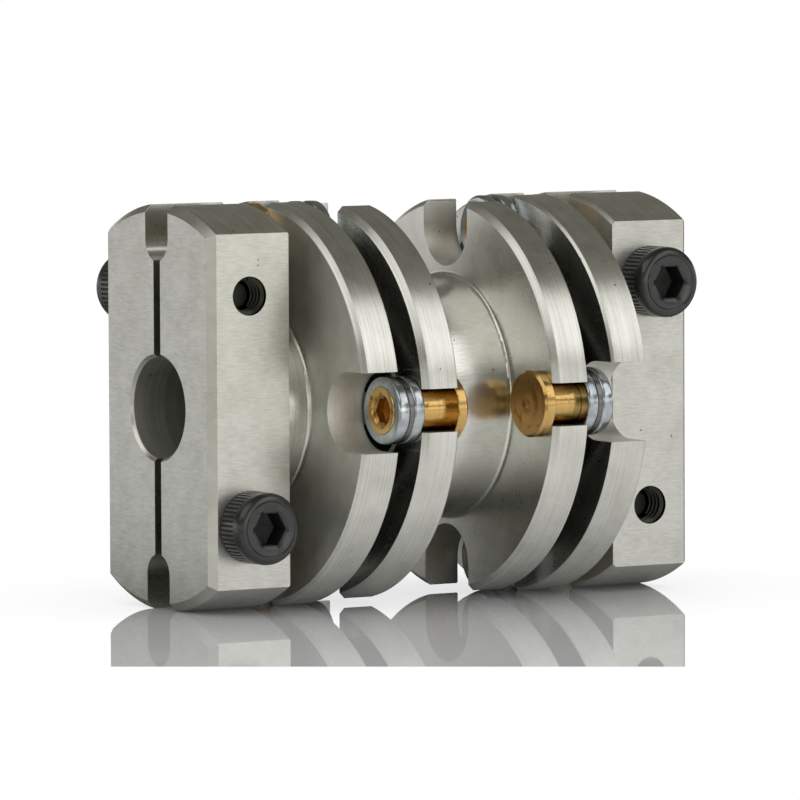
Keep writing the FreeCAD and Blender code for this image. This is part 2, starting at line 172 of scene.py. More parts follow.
def find_surfaces(add, x, y, z):
    """Masks, each 1 on its own surface and 0 elsewhere, and the distance from the shaft axis."""
    along, across = add("Math", [x], operation="ABSOLUTE"), add("Math", [y], operation="ABSOLUTE")
    radius = add("VectorMath", [add("CombineXYZ", [y, z])], "Value", operation="LENGTH")
    on_block = add("Math", [along, BLOCK_ONLY], operation="GREATER_THAN")
    on_flat = add("Math", [add("Math", [across, FLAT, NEAR], operation="COMPARE"), on_block], operation="MULTIPLY")
    on_end = add("Math", [along, END - NEAR], operation="GREATER_THAN")
    neck, waist, wall = [add("Math", [along, station, NEAR], operation="COMPARE")
                         for station in (NECK_FACE, WAIST_FACE, BLOCK_WALL)]
    groove = add("Math", [neck, wall], operation="MAXIMUM")
    at_end = add("Math", [along, END - END_EDGES], operation="GREATER_THAN")
    between = add("Math", [along, WAIST_FACE + 0.05], operation="LESS_THAN")
    in_bore = add("Math", [radius, BORE], operation="LESS_THAN")
    behind = add("Math", [along, END - BORE_MOUTH], operation="LESS_THAN")
    outward, aside = fold_to_pin(add, y, z)
    # A scallop is a half circle below its centre and two straight walls above it
    inward = add("Math", [add("Math", [outward, SCALLOP_SHIFT], operation="SUBTRACT"), 0.0], operation="MINIMUM")
    scallop = add("VectorMath", [add("CombineXYZ", [inward, aside])], "Value", operation="LENGTH")
    on_scallop = add("Math", [scallop, SCALLOP, 2 * NEAR], operation="COMPARE")
    in_flange = add("Math", [add("Math", [radius, RIM], operation="LESS_THAN"),
                             add("Math", [along, FLANGES_MIDDLE, FLANGES_HALF], operation="COMPARE")],
                    operation="MULTIPLY")
    return {
        "radius": radius,
        "milled": add("Math", [on_flat, on_end], operation="MAXIMUM"),
        "groove": groove,
        "waist": add("Math", [add("Math", [radius, WAIST], operation="LESS_THAN"), between], operation="MULTIPLY"),
        "bore": in_bore,
        "rough_bore": add("Math", [in_bore, behind], operation="MULTIPLY"),
        "fine": add("Math", [add("Math", [waist, groove], operation="MAXIMUM"), at_end], operation="MAXIMUM"),
        "scallop": add("Math", [on_scallop, in_flange], operation="MULTIPLY"),
        "tapped": add("Math", [distance_from_screw(add, x, z), TAPPED], operation="LESS_THAN"),
    }


print("surfaces told apart at", FLAT, END, NECK_FACE, WAIST_FACE, "mm")

# %% [markdown]
# The rings need no switch between round and flat faces. Their pattern changes quickly with X and with the
# radius and hardly at all round the axis, so on a rim it changes along X and on a flange's face along the
# radius. Real turning marks are 0.05 to 0.1 mm apart, finer than a pixel here, so they are drawn about
# 0.15 mm apart. The flanges' faces and the edges at the ends are cut finer, so no rings show there. Milled
# dashes are about 1 mm long and 0.15 mm high. Rare dark pits are where a crystal broke out of the metal. The
# tapped holes and the deep drilled bore are painted darker as painted shade, and the waist and the scallops'
# walls are painted lighter as painted light.

# %% Turned and milled aluminium


def turned_aluminium():
    """Bare aluminium: tool marks and rare pits in its height and tone, painted light on the waist and the scallops,
    painted shade in the deep bore and the tapped holes, and a roughness for each surface.
    """
    material, add, point, (x, y, z) = new_material("turned_and_milled_aluminium")
    on = find_surfaces(add, x, y, z)
    turning = add("CombineXYZ", [x, on["radius"], add("Math", [y, z], operation="ADD")])
    rings = add("TexNoise", {"Vector": add("Mapping", {"Vector": turning, "Scale": (6.5, 6.5, 0.05)}), "Scale": 1.0,
                             "Detail": 2.0, "Roughness": 0.6})
    dashes = add("TexNoise", {"Vector": add("Mapping", {"Vector": point, "Scale": (1.0, 1.0, 6.5)}), "Scale": 1.0,
                              "Detail": 3.0, "Roughness": 0.7})
    streaks = add("TexNoise", {"Vector": add("Mapping", {"Vector": point, "Scale": (1.3, 7.0, 7.0)}), "Scale": 1.0,
                               "Detail": 2.0, "Roughness": 0.6})
    patches = add("TexNoise", {"Vector": point, "Scale": 0.45, "Detail": 3.0, "Roughness": 0.6})
    marks = add("Mix", {"Factor": on["waist"], "A": rings, "B": streaks})
    marks = add("Mix", {"Factor": on["fine"], "A": marks, "B": 0.5})
    marks = add("Mix", {"Factor": on["milled"], "A": marks, "B": dashes})
    # Pits: one crystal in every cubic millimetre, and one in fourteen of them large enough to show
    crystals = add("TexVoronoi", {"Vector": point, "Scale": 1.0}, "Distance")
    chosen = add("SeparateColor", [add("TexVoronoi", {"Vector": point, "Scale": 1.0}, "Color")], "Red")
    pits = add("Math", [add("Math", [crystals, 0.10], operation="LESS_THAN"),
                        add("Math", [chosen, 0.93], operation="GREATER_THAN")], operation="MULTIPLY")
    depth = add("Math", [on["rough_bore"], 2.0, add("Math", [on["milled"], 0.9, 1.0], operation="MULTIPLY_ADD")],
                operation="MULTIPLY_ADD")
    depth = add("Math", [on["waist"], 1.2, depth], operation="MULTIPLY_ADD")
    height = add("Math", [marks, depth], operation="MULTIPLY")
    edges = add("Bevel", {"Radius": mm(0.06)}, samples=4)
    bump = add("Bump", {"Height": height, "Strength": 0.6, "Distance": mm(0.004), "Normal": edges})
    tone = add("Mix", {"Factor": 0.4, "A": marks, "B": patches})
    tone = add("MapRange", [tone, 0.37, 0.63])
    shade = add("Mix", {"Factor": tone, "A": linear("#CBCBC3"), "B": linear("#E8E8E1")}, "Result", data_type="RGBA")
    # The deep drilled part of the bore is painted darker as painted shade; the milled flats get a slightly duller
    # tone of their own.
    bore_shade_and_milled_tone = add("Math", [add("Math", [on["rough_bore"], 0.4], operation="MULTIPLY"),
                          add("Math", [on["milled"], 0.2], operation="MULTIPLY")], operation="MAXIMUM")
    shade = add("Mix", {"Factor": bore_shade_and_milled_tone, "A": shade, "B": linear("#A5A5A2")}, "Result", data_type="RGBA")
    # The waist and the scallops' walls are painted lighter: painted light.
    painted_light_waist_and_scallops = add("Math", [on["waist"], on["scallop"]], operation="MAXIMUM")
    painted_light_waist_and_scallops = add("Math", [painted_light_waist_and_scallops, 0.4], operation="MULTIPLY")
    shade = add("Mix", {"Factor": painted_light_waist_and_scallops, "A": shade, "B": linear("#F5F4EF")}, "Result", data_type="RGBA")
    # Pits are painted dark, and the tapped holes are painted dark as painted shade.
    pits_and_hole_shade = add("Math", [add("Math", [pits, 0.7], operation="MULTIPLY"), on["tapped"]], operation="MAXIMUM")
    shade = add("Mix", {"Factor": pits_and_hole_shade, "A": shade, "B": linear("#3B3B36")}, "Result", data_type="RGBA")
    gloss = add("Math", [patches, 0.10, 0.23], operation="MULTIPLY_ADD")
    for name, change in (("milled", 0.06), ("groove", 0.25), ("waist", -0.04), ("bore", 0.25), ("scallop", 0.2)):
        gloss = add("Math", [on[name], change, gloss], operation="MULTIPLY_ADD")
    shader = add("BsdfPrincipled", {"Base Color": shade, "Metallic": 1.0, "Roughness": gloss, "Normal": bump})
    add("OutputMaterial", [shader])
    return material


aluminium = turned_aluminium()
print("aluminium:", len(aluminium.node_tree.nodes), "nodes")

# %% [markdown]
# The rivets are machined from free-cutting brass. It gives a bright pale gold with fine tool rings round the
# rivet's own axis, and darker brown stains where cutting oil and fingers have been. The flat of each head is
# painted a darker brown as painted shade, and the hollow end is brown inside.

# %% Machined brass
# Along the shaft axis: the faces of the heads on the spool and on the hubs, and the pack with its washers as a
# middle and a half length
HEAD_ON_SPOOL, HEAD_ON_HUB, PACK_MIDDLE, PACK_HALF = 3.6, 14.19, 8.8, 1.25
HOLLOW = 1.18


def machined_brass():
    """Brass with tool rings round each rivet's axis, painted shade on the heads' faces, and tarnish in the hollows.
    """
    material, add, point, (x, y, z) = new_material("machined_free_cutting_brass")
    along = add("Math", [x], operation="ABSOLUTE")
    away = add("VectorMath", [add("CombineXYZ", list(fold_to_pin(add, y, z)))], "Value", operation="LENGTH")
    turning = add("CombineXYZ", [x, away, add("Math", [y, z], operation="ADD")])
    rings = add("TexNoise", {"Vector": add("Mapping", {"Vector": turning, "Scale": (6.0, 6.0, 0.2)}), "Scale": 1.0,
                             "Detail": 2.0, "Roughness": 0.6})
    stains = add("TexNoise", {"Vector": point, "Scale": 1.3, "Detail": 4.0, "Roughness": 0.65})
    stained = add("MapRange", [stains, 0.56, 0.72], interpolation_type="SMOOTHSTEP")
    on_spool = add("Math", [along, HEAD_ON_SPOOL, 0.03], operation="COMPARE")
    on_hub = add("Math", [along, HEAD_ON_HUB, 0.03], operation="COMPARE")
    on_head = add("Math", [on_spool, on_hub], operation="MAXIMUM")
    near_pack = add("Math", [along, PACK_MIDDLE, PACK_HALF], operation="COMPARE")
    in_hollow = add("Math", [add("Math", [away, HOLLOW], operation="LESS_THAN"), near_pack], operation="MULTIPLY")
    in_hollow = add("Math", [in_hollow, 0.6], operation="MULTIPLY")
    # The heads' faces are painted darker brown as painted shade; the stains and the hollows are the brass's own
    # brown.
    brown = add("Math", [on_head, 0.6, stained], operation="MULTIPLY_ADD")
    brown = add("Math", [brown, in_hollow], operation="MAXIMUM", use_clamp=True)
    bright = add("Mix", {"Factor": rings, "A": linear("#CBA35E"), "B": linear("#E0BC7C")}, "Result", data_type="RGBA")
    colour = add("Mix", {"Factor": brown, "A": bright, "B": linear("#8C5E24")}, "Result", data_type="RGBA")
    bump = add("Bump", {"Height": rings, "Strength": 0.5, "Distance": mm(0.004)})
    gloss = add("Math", [stains, 0.2, 0.10], operation="MULTIPLY_ADD")
    shader = add("BsdfPrincipled", {"Base Color": colour, "Metallic": 1.0, "Roughness": gloss, "Normal": bump})
    add("OutputMaterial", [shader])
    return material


brass = machined_brass()
print("brass:", len(brass.node_tree.nodes), "nodes")

# %% [markdown]
# The washers are stamped steel with bright zinc plating. The plating looks bluish white and glossy, with
# tiny waves from the tumbling barrel and a few grey water marks.

# %% Bright zinc plating


def bright_zinc():
    """Glossy plating with low waves and cloudy water marks."""
    material, add, point, _ = new_material("bright_zinc_plated_steel")
    waves = add("TexNoise", {"Vector": point, "Scale": 2.2, "Detail": 3.0, "Roughness": 0.6})
    marks = add("TexNoise", {"Vector": point, "Scale": 0.9, "Detail": 2.0, "Roughness": 0.5})
    cloudy = add("MapRange", [marks, 0.35, 0.65], interpolation_type="SMOOTHSTEP")
    colour = add("Mix", {"Factor": cloudy, "A": linear("#C6CCCF"), "B": linear("#A9B1B6")}, "Result",
                 data_type="RGBA")
    bump = add("Bump", {"Height": waves, "Strength": 0.5, "Distance": mm(0.02)})
    gloss = add("MapRange", [marks, 0.3, 0.7, 0.12, 0.24])
    shader = add("BsdfPrincipled", {"Base Color": colour, "Metallic": 1.0, "Roughness": gloss, "Normal": bump})
    add("OutputMaterial", [shader])
    return material


zinc = bright_zinc()
print("zinc:", len(zinc.node_tree.nodes), "nodes")

# %% [markdown]
# The disc pack is rolled stainless spring steel. Rolling leaves straight hairlines across the whole sheet. The
# sheets are a darker grey than the washers, so their edges show as a thin dark line between them.

# %% Rolled spring steel


def rolled_spring_steel():
    """Dark grey sheet with straight hairlines in its tone, height and roughness."""
    material, add, point, _ = new_material("rolled_stainless_spring_steel")
    hairlines = add("TexNoise", {"Vector": add("Mapping", {"Vector": point, "Scale": (1.0, 0.3, 8.0)}), "Scale": 1.0,
                                 "Detail": 2.0, "Roughness": 0.6})
    colour = add("Mix", {"Factor": hairlines, "A": linear("#6C6C6A"), "B": linear("#8A8A87")}, "Result",
                 data_type="RGBA")
    bump = add("Bump", {"Height": hairlines, "Strength": 0.4, "Distance": mm(0.003)})
    gloss = add("MapRange", [hairlines, 0.2, 0.8, 0.2, 0.3])
    shader = add("BsdfPrincipled", {"Base Color": colour, "Metallic": 1.0, "Roughness": gloss, "Normal": bump})
    add("OutputMaterial", [shader])
    return material


spring_steel = rolled_spring_steel()
print("spring steel:", len(spring_steel.node_tree.nodes), "nodes")

# %% [markdown]
# The screws are hardened steel with a black oxide finish. The oxide is a thin dark skin with a little oil on
# it, so the eye sees a near-black surface with soft grey highlights, and not bare metal. So the material
# isn't metallic. Its IOR of 1.7 lies between oil and magnetite. The socket and the knurl's grooves are painted
# blacker as painted shade and duller, and the ridges paler, partly from wear and partly as a painted highlight.

# %% Oiled black oxide
# Out from the shaft axis: the depth below which a socket is painted near-black as painted shade, and the knurl as a
# middle and a half length.
# Out from a screw's axis: the socket, the knurl, and where its grooves end and its ridges begin
SOCKET_SHADE_BELOW, KNURL_MIDDLE, KNURL_HALF = 10.88, 9.0, 0.93
SOCKET, KNURL, GROOVE_TOP, RIDGE = 1.5, 2.5, 2.79, 2.82


def black_oxide():
    """Near-black oxide under oil, with painted shade in the socket and the knurl's grooves, and the ridges paler from
    wear and a painted highlight.
    """
    material, add, point, (x, y, z) = new_material("oiled_black_oxide_steel")
    grain = add("TexNoise", {"Vector": point, "Scale": 5.0, "Detail": 3.0, "Roughness": 0.6})
    oil = add("TexNoise", {"Vector": point, "Scale": 0.7, "Detail": 2.0, "Roughness": 0.5})
    height = add("Math", [y], operation="ABSOLUTE")
    away = distance_from_screw(add, x, z)
    # The socket below the face is painted near-black as painted shade, and made duller.
    below_face = add("Math", [height, SOCKET_SHADE_BELOW], operation="LESS_THAN")
    near_axis = add("Math", [away, SOCKET], operation="LESS_THAN")
    painted_shade = add("Math", [below_face, near_axis], operation="MULTIPLY")
    colour = add("Mix", {"Factor": grain, "A": linear("#18181A"), "B": linear("#272626")}, "Result", data_type="RGBA")
    on_knurl = add("Math", [add("Math", [height, KNURL_MIDDLE, KNURL_HALF], operation="COMPARE"),
                            add("Math", [away, KNURL], operation="GREATER_THAN")], operation="MULTIPLY")
    # The knurl's ridges are painted paler, partly wear and partly a painted highlight, and its grooves near-black as
    # painted shade.
    ridge = add("Math", [on_knurl, add("MapRange", [away, GROOVE_TOP, RIDGE])], operation="MULTIPLY")
    groove = add("Math", [on_knurl, ridge], operation="SUBTRACT")
    colour = add("Mix", {"Factor": ridge, "A": colour, "B": linear("#4C4B48")}, "Result", data_type="RGBA")
    painted_shade = add("Math", [painted_shade, groove], operation="MAXIMUM")
    colour = add("Mix", {"Factor": painted_shade, "A": colour, "B": linear("#020202")}, "Result", data_type="RGBA")
    bump = add("Bump", {"Height": grain, "Strength": 0.5, "Distance": mm(0.006)})
    gloss = add("MapRange", [oil, 0.3, 0.7, 0.22, 0.32])
    gloss = add("Math", [painted_shade, 0.35, gloss], operation="MULTIPLY_ADD")
    shader = add("BsdfPrincipled", {"Base Color": colour, "Roughness": gloss, "IOR": 1.7, "Normal": bump})
    add("OutputMaterial", [shader])
    return material


oxide = black_oxide()
print("black oxide:", len(oxide.node_tree.nodes), "nodes")

# %% [markdown]
# ## Dress the frame
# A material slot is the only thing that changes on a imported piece. Its mesh stays as it is.

# %% Dress the hubs, the spool and the sheets
for name, node in nodes.items():
    finish = aluminium if name.endswith(("hub", "spool")) else spring_steel if "lamination" in name else None
    if finish:
        node.data.materials.clear()
        node.data.materials.append(finish)
        print(name, "is", finish.name)

# %% [markdown]
# ## Turned small parts
# Rivets, washers and screws are all turned shapes, so each starts as half an outline: points at a radius and
# a place along its axis. Spinning that line round the axis gives the part. A spin leaves a seam and doubled
# points on the axis, so these are merged, and then the faces are turned outwards. Edges sharper than 30
# degrees are kept crisp, and the rest are shaded smooth.

# %% Spin and finish
SHARP = math.radians(30)
AXIS_X = Vector((1, 0, 0))
AXIS_Y = Vector((0, 1, 0))


def spin_outline(work, outline, origin, axis, outward, steps):
    """Spins a line of (radius, place along the axis) points, in millimetres, round the axis."""
    points = [work.verts.new(origin + outward * mm(radius) + axis * mm(place)) for radius, place in outline]
    lines = [work.edges.new(pair) for pair in zip(points, points[1:])]
    bmesh.ops.spin(work, geom=points + lines, cent=origin, axis=axis, angle=2 * math.pi, steps=steps, use_merge=True)
    bmesh.ops.remove_doubles(work, verts=work.verts, dist=mm(0.0005))


def finish_piece(work, name, material, replaced=None, body=None):
    """Makes the mesh a piece with its material, which stands for its node and rides on its body."""
    bmesh.ops.recalc_face_normals(work, faces=work.faces)
    for face in work.faces:
        face.smooth = True
    for edge in work.edges:
        edge.smooth = len(edge.link_faces) == 2 and edge.calc_face_angle() < SHARP
    mesh = bpy.data.meshes.new(name)
    work.to_mesh(mesh)
    work.free()
    mesh.materials.append(material)
    piece = bpy.data.objects.new(name, mesh)
    bpy.context.scene.collection.objects.link(piece)
    if replaced:
        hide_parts(replaced)
        body = body_of(nodes[replaced])[0]
    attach(piece, body)
    return piece


def sink_hexagon(work, origin, axis, outward, across_corners, top, depth, floor_rise):
    """Sinks a six-sided hole below the open round rim, with a cone at its bottom as a drill leaves it."""
    rim = [edge for edge in work.edges if edge.is_boundary]
    sides = len(rim) // 6
    side = axis.cross(outward)
    turn = Matrix((outward, side, axis)).transposed().to_4x4()
    place = Matrix.Translation(origin + axis * mm(top)) @ turn
    ring = bmesh.ops.create_circle(work, segments=6, radius=mm(across_corners / 2), matrix=place)["verts"]
    hexagon = list({edge for vert in ring for edge in vert.link_edges})
    bmesh.ops.subdivide_edges(work, edges=hexagon, cuts=sides - 1)
    hexagon = [edge for edge in work.edges if not edge.link_faces]
    bmesh.ops.bridge_loops(work, edges=rim + hexagon)
    wall = bmesh.ops.extrude_edge_only(work, edges=[edge for edge in hexagon if edge.is_valid])["geom"]
    low = [part for part in wall if isinstance(part, bmesh.types.BMVert)]
    bmesh.ops.translate(work, verts=low, vec=axis * mm(depth))
    open_edges = [part for part in wall if isinstance(part, bmesh.types.BMEdge) and part.is_boundary]
    bottom = bmesh.ops.extrude_edge_only(work, edges=open_edges)["geom"]
    tip = [part for part in bottom if isinstance(part, bmesh.types.BMVert)]
    bmesh.ops.pointmerge(work, verts=tip, merge_co=origin + axis * mm(top + depth + floor_rise))


print("spin and finish ready")

# %% [markdown]
# ## Rivets
# A semi-tubular rivet has a flat head with a small chamfer, a plain shank, and a hollow end that a tool rolls
# outwards over the washer. The rolled end is a smooth lip, and the tool leaves the hollow slightly
# six-sided. The head's face keeps a faint ring and a small pip from the lathe. The rivets at the front and
# back hold the pack to the spool, so their heads lie in the waist. Those at the top and bottom hold it to
# the hub, so their heads lie on the neck's side of the hub's flange.

# %% Rivets
# Stations along the shaft axis, and radii of the rivet
SPOOL_END, PACK_END, HUB_FACE = 7.65, 9.04, 10.04
HEAD, HEAD_THICKNESS, SHANK, LIP = 2.65, 0.95, 1.6, 1.9
PIN_PLACES = {"top": (0, 1), "bottom": (0, -1), "front": (-1, 0), "back": (1, 0)}


def pin_origin(place):
    """A point on the rivet's axis, in the plane through the coupling's middle."""
    across, up = PIN_PLACES[place]
    return Vector((0, mm(PIN_RADIUS * across), mm(PIN_RADIUS * up)))


def make_rivet(side_name, side, place):
    """Way is 1 where the shank points away from the middle of the coupling, and -1 where it points towards it."""
    on_spool = place in ("front", "back")
    seat, end = (WAIST_FACE, HUB_FACE) if on_spool else (NECK_FACE, SPOOL_END)
    way = 1 if on_spool else -1
    face, lip = seat - HEAD_THICKNESS * way, end + 0.12 * way
    steps = [(0, face), (0.3, face), (0.36, face + 0.008 * way), (0.42, face), (1.5, face),
             (1.56, face + 0.006 * way), (1.62, face), (HEAD - 0.2, face), (HEAD, face + 0.2 * way),
             (HEAD, seat - 0.05 * way), (HEAD - 0.05, seat), (SHANK, seat), (SHANK, lip - 0.45 * way),
             (SHANK + 0.07, lip - 0.36 * way), (LIP - 0.05, lip - 0.2 * way), (LIP, lip - 0.1 * way),
             (LIP - 0.05, lip - 0.03 * way), (LIP - 0.18, lip), (1.45, lip - 0.01 * way), (1.3, lip - 0.06 * way),
             (1.2, lip - 0.12 * way)]
    work = bmesh.new()
    origin, outward, axis = pin_origin(place), Vector((0, 0, 1)), AXIS_X * side
    spin_outline(work, steps, origin, axis, outward, 60)
    top = (lip - 0.3 * way) * way
    sink_hexagon(work, origin, axis * way, outward, across_corners=2.15, top=top, depth=-0.6, floor_rise=-0.15)
    node = f"{side_name}_{place}_rivet"
    return finish_piece(work, f"{node}_turned", brass, node)


for side_name, side in (("left", -1), ("right", 1)):
    for place in PIN_PLACES:
        piece = make_rivet(side_name, side, place)
        print(piece.name, len(piece.data.polygons), "faces")

# %% [markdown]
# ## Washers
# Thick washers with rounded rims clamp the sheets. Each is a spun rectangle whose outer edges get a round
# bevel and whose hole gets a small one, as tumbling leaves them.

# %% Washers
WASHER, WASHER_HOLE, WASHER_THICKNESS = 2.7, 1.62, 1.0


def make_washer(side_name, side, place, neighbour):
    start = SPOOL_END if neighbour == "spool" else PACK_END
    end = start + WASHER_THICKNESS
    work = bmesh.new()
    outline = [(WASHER_HOLE, start), (WASHER, start), (WASHER, end), (WASHER_HOLE, end), (WASHER_HOLE, start)]
    origin, axis, outward = pin_origin(place), AXIS_X * side, Vector((0, 0, 1))
    spin_outline(work, outline, origin, axis, outward, 60)
    corners = {"rim": [], "hole": []}
    for edge in work.edges:
        middle = (edge.verts[0].co + edge.verts[1].co) / 2 - origin
        if abs(edge.verts[0].co.x - edge.verts[1].co.x) < mm(0.01):
            away = math.hypot(middle.y, middle.z)
            if abs(away - mm(WASHER)) < mm(0.02):
                corners["rim"].append(edge)
            elif abs(away - mm(WASHER_HOLE)) < mm(0.02):
                corners["hole"].append(edge)
    for edges, width, segments in ((corners["rim"], 0.24, 5), (corners["hole"], 0.06, 1)):
        bmesh.ops.bevel(work, geom=edges, offset=mm(width), affect="EDGES", segments=segments, profile=0.5,
                        material=-1)
    node = f"{side_name}_{place}_washer_{neighbour}_side"
    return finish_piece(work, f"{node}_rounded", zinc, node)


for side_name, side in (("left", -1), ("right", 1)):
    for place in PIN_PLACES:
        for neighbour in ("spool", "hub"):
            piece = make_washer(side_name, side, place, neighbour)
    print(side_name, "washers done,", len(piece.data.polygons), "faces each")

# %% [markdown]
# ## Threads
# A thread is a small ridge that climbs round the axis. Spinning its cross-section, a triangle with a flat top,
# and moving it along the axis a little at each step makes that helix. The M3 thread has a pitch of 0.5 mm.

# %% Thread ridge
PITCH = 0.5
TURN_STEPS = 32


def add_thread(work, origin, axis, outward, root, crest, width, start, turns):
    """Adds a ridge of a width, from its root radius to its crest radius, climbing along the axis from start."""
    corners = [(root, 0), (crest, width * 0.4), (crest, width * 0.6), (root, width)]
    points = [work.verts.new(origin + outward * mm(radius) + axis * mm(start + place)) for radius, place in corners]
    ends = [work.faces.new(points)]
    steps = int(TURN_STEPS * turns)
    bmesh.ops.spin(work, geom=ends, cent=origin, axis=axis, dvec=axis * mm(PITCH / TURN_STEPS),
                   angle=2 * math.pi * steps / TURN_STEPS, steps=steps, use_merge=False)


print("thread:", TURN_STEPS, "steps a turn, pitch", PITCH, "mm")

# %% [markdown]
# ## Clamp screws
# Each hub is closed by two M3 socket head cap screws. The head has a straight knurl over the lower part of
# its side, so that fingers can turn it, a smooth collar with a rounded edge above it, and a hexagon socket
# with a small chamfer. The knurl is made by insetting every other face of a band and pushing it in. Real
# knurls have about 48 ridges on this size.

# %% Screws
HEAD_HEIGHT, HEAD_RADIUS, HEAD_STEPS = 3.0, 2.825, 96
ACROSS_CORNERS = 2.5 / math.cos(math.radians(30))
ROOT, CREST, SCREW_LENGTH = 1.24, 1.475, 14.0
SCREWS = {"left_clamp_screw_front": (-1, -1, -1), "left_clamp_screw_back": (-1, 1, 1),
          "right_clamp_screw_front": (1, -1, 1), "right_clamp_screw_back": (1, 1, -1)}


def make_screw(node, side, front, up):
    """The outline starts at the socket's rim on the head's face and goes down to the tip of the screw."""
    origin = Vector((mm(SCREW_X * side), mm((FLAT + HEAD_HEIGHT) * front), mm(SCREW_Z * up)))
    axis, outward = AXIS_Y * -front, Vector((0, 0, 1))
    end = HEAD_HEIGHT + SCREW_LENGTH
    outline = [(1.63, 0), (2.12, 0), (2.17, 0.05), (2.24, 0.01), (2.4, 0.03), (2.58, 0.12), (2.72, 0.27),
               (2.8, 0.45), (HEAD_RADIUS, 0.66), (HEAD_RADIUS, 1.1),
               (HEAD_RADIUS, 2.86), (HEAD_RADIUS - 0.12, HEAD_HEIGHT), (1.55, HEAD_HEIGHT), (CREST, 3.08),
               (CREST, 3.3), (ROOT, 3.5), (ROOT, end - 0.35), (ROOT - 0.3, end), (0, end)]
    work = bmesh.new()
    spin_outline(work, outline, origin, axis, outward, HEAD_STEPS)
    sink_hexagon(work, origin, axis, outward, ACROSS_CORNERS, top=0.17, depth=1.75, floor_rise=0.45)
    bmesh.ops.recalc_face_normals(work, faces=work.faces)
    knurl = []
    for face in work.faces:
        middle = face.calc_center_median() - origin
        depth = middle.dot(axis)
        if mm(1.2) < depth < mm(2.8) and (middle - axis * depth).length > mm(2.6):
            angle = math.atan2(middle.z, middle.x) % (2 * math.pi)
            if int(angle / (2 * math.pi) * HEAD_STEPS) % 2 == 0:
                knurl.append(face)
    bmesh.ops.inset_individual(work, faces=knurl, thickness=mm(0.045), depth=mm(-0.075), use_even_offset=True)
    add_thread(work, origin, axis, outward, ROOT - 0.02, CREST, 0.45, 3.45, (SCREW_LENGTH - 1.3) / PITCH)
    return finish_piece(work, f"{node}_knurled", oxide, node)


for node, (side, front, up) in SCREWS.items():
    piece = make_screw(node, side, front, up)
    print(piece.name, len(piece.data.polygons), "faces")

# %% [markdown]
# ## Tapped holes
# Each screw ends 2 mm below the far flat, so the last turns of the hub's own thread show in the hole. They
# are the same ridge, climbing inwards from the wall of the hole.

# %% Tapped threads
TAPPED_ROOT, TAPPED_CREST, TAPPED_WIDTH = 1.5, 1.2, 0.34
for node, (side, front, up) in SCREWS.items():
    work = bmesh.new()
    origin = Vector((mm(SCREW_X * side), mm(FLAT * -front), mm(SCREW_Z * up)))
    add_thread(work, origin, AXIS_Y * front, Vector((0, 0, 1)), TAPPED_ROOT, TAPPED_CREST, TAPPED_WIDTH, 0.12, 3.4)
    hub = "left" if side < 0 else "right"
    name = f"{hub}_hub_tapped_thread_{'back' if front < 0 else 'front'}"
    piece = finish_piece(work, name, aluminium, body=body_of(nodes[f"{hub}_clamp_hub"])[0])
    print(piece.name, len(piece.data.polygons), "faces")

# %% [markdown]
# ## Camera
# The photo is taken from the front left, nearly level, with a long lens. These numbers come from fitting
# the part's edges to the photo: turn, tilt and roll in degrees, and distances in millimetres.

# %% Camera
YAW, PITCH_DOWN, ROLL = 32.735, 3.76, -0.253
DISTANCE, AIM_RIGHT, AIM_UP = mm(659.0), mm(0.137), mm(-0.253)
FOCAL_PIXELS, FRAME_PIXELS, SENSOR = 8255.75, 800, 36
yaw, pitch = math.radians(YAW), math.radians(PITCH_DOWN)
towards = Vector((-math.sin(yaw) * math.cos(pitch), -math.cos(yaw) * math.cos(pitch), math.sin(pitch)))
right = Vector((math.cos(yaw), -math.sin(yaw), 0))
turn = Matrix((right, towards.cross(right), towards)).transposed() @ Matrix.Rotation(math.radians(ROLL), 3, "Z")
lens = bpy.data.cameras.new("camera")
lens.sensor_width = SENSOR
lens.lens = SENSOR * FOCAL_PIXELS / FRAME_PIXELS
lens.clip_start, lens.clip_end = 0.01, 20
camera = bpy.data.objects.new("camera", lens)
aim = AIM_RIGHT * turn.col[0] + AIM_UP * turn.col[1]
camera.matrix_world = Matrix.Translation(aim + DISTANCE * towards) @ turn.to_4x4()
bpy.context.scene.collection.objects.link(camera)
bpy.context.scene.camera = camera
bpy.context.scene.view_settings.view_transform = "Standard"
print("lens", round(lens.lens, 1), "mm")

# %% [markdown]
# ## Floor
# The coupling stands on a sheet of polished white acrylic. Seen nearly level it mirrors the part strongly,
# and seen from above it's plain white. A Fresnel mix of a white under layer and a polished top does this. The
# under layer glows white for the camera, as a light table does, and an ambient occlusion node dims that glow
# near the part, so the floor keeps the part's shadow. Metal sees the same floor at a plain level instead: a
# glow that is bright in front, dimmer at the left and right, and gone under the part, where the floor is in
# shade. The polish is for the camera alone, because a mirror that mirrors a mirror makes the metal noisy.

# %% Floor
floor_height = cad_bounds[0][2]
PLATE_HALF, PLATE_FRONT, PLATE_TURN = 1.2, mm(58.2), -2.6
work = bmesh.new()
bmesh.ops.create_grid(work, x_segments=1, y_segments=1, size=PLATE_HALF)
bmesh.ops.translate(work, vec=(0, PLATE_HALF - PLATE_FRONT, floor_height), verts=work.verts)
plate_turn = Matrix.Rotation(math.radians(PLATE_TURN - YAW), 3, "Z")
bmesh.ops.rotate(work, cent=(0, 0, 0), matrix=plate_turn, verts=work.verts)
floor_mesh = bpy.data.meshes.new("floor")
work.to_mesh(floor_mesh)
work.free()
floor = bpy.data.objects.new("floor", floor_mesh)
bpy.context.scene.collection.objects.link(floor)

material, add, _, (x, y, _) = new_material("polished_white_acrylic")
glossy, through = add("LightPath", out="Is Glossy Ray"), add("LightPath", out="Is Transmission Ray")
mirrored = add("Math", [glossy, through], operation="MAXIMUM")
